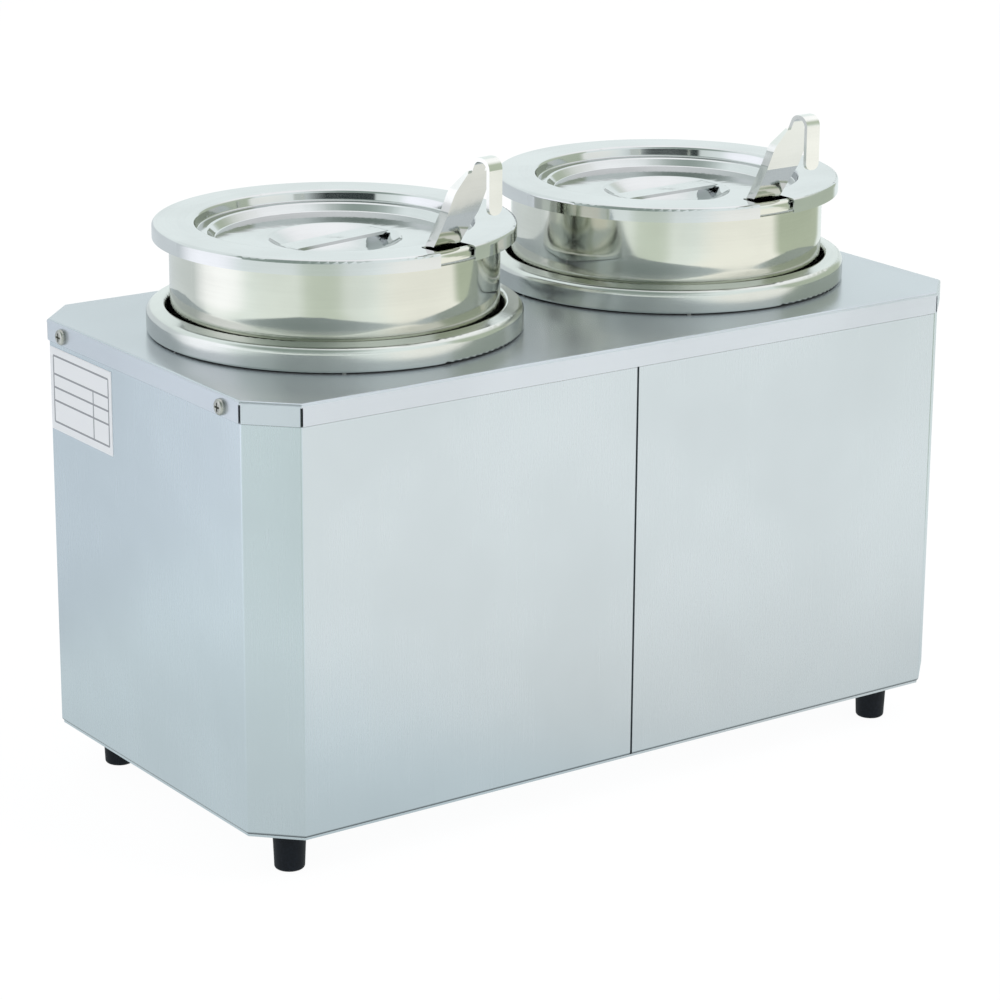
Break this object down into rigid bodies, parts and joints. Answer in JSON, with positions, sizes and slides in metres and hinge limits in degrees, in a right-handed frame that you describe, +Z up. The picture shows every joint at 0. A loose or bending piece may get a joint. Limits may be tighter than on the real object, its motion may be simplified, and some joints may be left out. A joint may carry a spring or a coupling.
{
  "type": "hot fudge topping warmer",
  "caption": "Twin countertop topping warmer: brushed steel housing with cut corners, lift-out pots in water wells, notched lids with flush strap handles and hooked ladles.",
  "frame": {"origin": "on the counter, under the middle of the whole outline from ladle hooks to knobs; 8.2 mm behind the housing's middle, at the bottom of the feet", "axes": "+Z up, +X to the right along the housing's length, -Y the broad front without controls, +Y the side with the thermostat knobs"},
  "size_m": [0.4368, 0.2489, 0.344],
  "materials": {
    "housing_steel": "satin brushed stainless sheet",
    "pot_steel": "bright spun stainless steel",
    "fastener_steel": "plain plated steel",
    "black_rubber": "matt moulded rubber",
    "seal_rubber": "matt sheet rubber",
    "label_film": "blank printed film",
    "element_sheath": "dull oxidised sheath",
    "control_plastic": "matt phenolic moulding",
    "knob_plastic": "semi gloss phenolic moulding",
    "dial_plate": "satin anodised plate",
    "copper_tube": "bare drawn copper",
    "wire_sleeve": "high temperature silicone sleeve"
  },
  "bodies": {
    "housing": {"base_pan": "housing_steel", "base_screws": "fastener_steel", "bulb_clips": "fastener_steel", "cord_bush": "control_plastic", "cover_screws": "fastener_steel", "cut_outs": "control_plastic", "dial_screws": "fastener_steel", "element_clamps": "fastener_steel", "element_nuts": "fastener_steel", "element_studs": "fastener_steel", "feet": "black_rubber", "foot_nuts": "fastener_steel", "foot_screws": "fastener_steel", "front_seam_strip": "housing_steel", "left_bulb": "copper_tube", "left_dial": "dial_plate", "left_element": "element_sheath", "left_gasket": "seal_rubber", "left_thermostat": "control_plastic", "left_vessel": "pot_steel", "left_wrap": "housing_steel", "rating_label": "label_film", "rear_seam_strip": "housing_steel", "right_bulb": "copper_tube", "right_dial": "dial_plate", "right_element": "element_sheath", "right_gasket": "seal_rubber", "right_thermostat": "control_plastic", "right_vessel": "pot_steel", "right_wrap": "housing_steel", "terminal_block": "control_plastic", "top_cover": "housing_steel", "vessel_nuts": "fastener_steel", "vessel_studs": "fastener_steel", "wiring": "wire_sleeve"},
    "left_inset": {"left_inset": "pot_steel"},
    "left_lid": {"left_lid": "pot_steel", "left_lid_handle": "pot_steel"},
    "left_ladle": {"left_ladle": "pot_steel"},
    "left_knob": {"left_knob": "knob_plastic", "left_shaft": "fastener_steel"},
    "right_inset": {"right_inset": "pot_steel"},
    "right_lid": {"right_lid": "pot_steel", "right_lid_handle": "pot_steel"},
    "right_ladle": {"right_ladle": "pot_steel"},
    "right_knob": {"right_knob": "knob_plastic", "right_shaft": "fastener_steel"}
  },
  "joints": [
    {"name": "left_inset_lift", "type": "slide", "parent": "housing", "child": "left_inset", "axis": [0, 0, 1], "range_m": [0, 0.16]},
    {"name": "left_lid_lift", "type": "slide", "parent": "left_inset", "child": "left_lid", "axis": [0, 0, 1], "range_m": [0, 0.06]},
    {"name": "left_ladle_draw", "type": "slide", "parent": "left_inset", "child": "left_ladle", "axis": [0.0815, -0.5389, 0.8384], "range_m": [0, 0.08]},
    {"name": "left_knob_turn", "type": "hinge", "parent": "housing", "child": "left_knob", "pos_m": [-0.1037, 0.1061, 0.072], "axis": [0, -1, 0], "range_deg": [0, 270]},
    {"name": "right_inset_lift", "type": "slide", "parent": "housing", "child": "right_inset", "axis": [0, 0, 1], "range_m": [0, 0.16]},
    {"name": "right_lid_lift", "type": "slide", "parent": "right_inset", "child": "right_lid", "axis": [0, 0, 1], "range_m": [0, 0.06]},
    {"name": "right_ladle_draw", "type": "slide", "parent": "right_inset", "child": "right_ladle", "axis": [0.0105, -0.5449, 0.8384], "range_m": [0, 0.08]},
    {"name": "right_knob_turn", "type": "hinge", "parent": "housing", "child": "right_knob", "pos_m": [0.1037, 0.1061, 0.072], "axis": [0, -1, 0], "range_deg": [0, 270]}
  ]
}
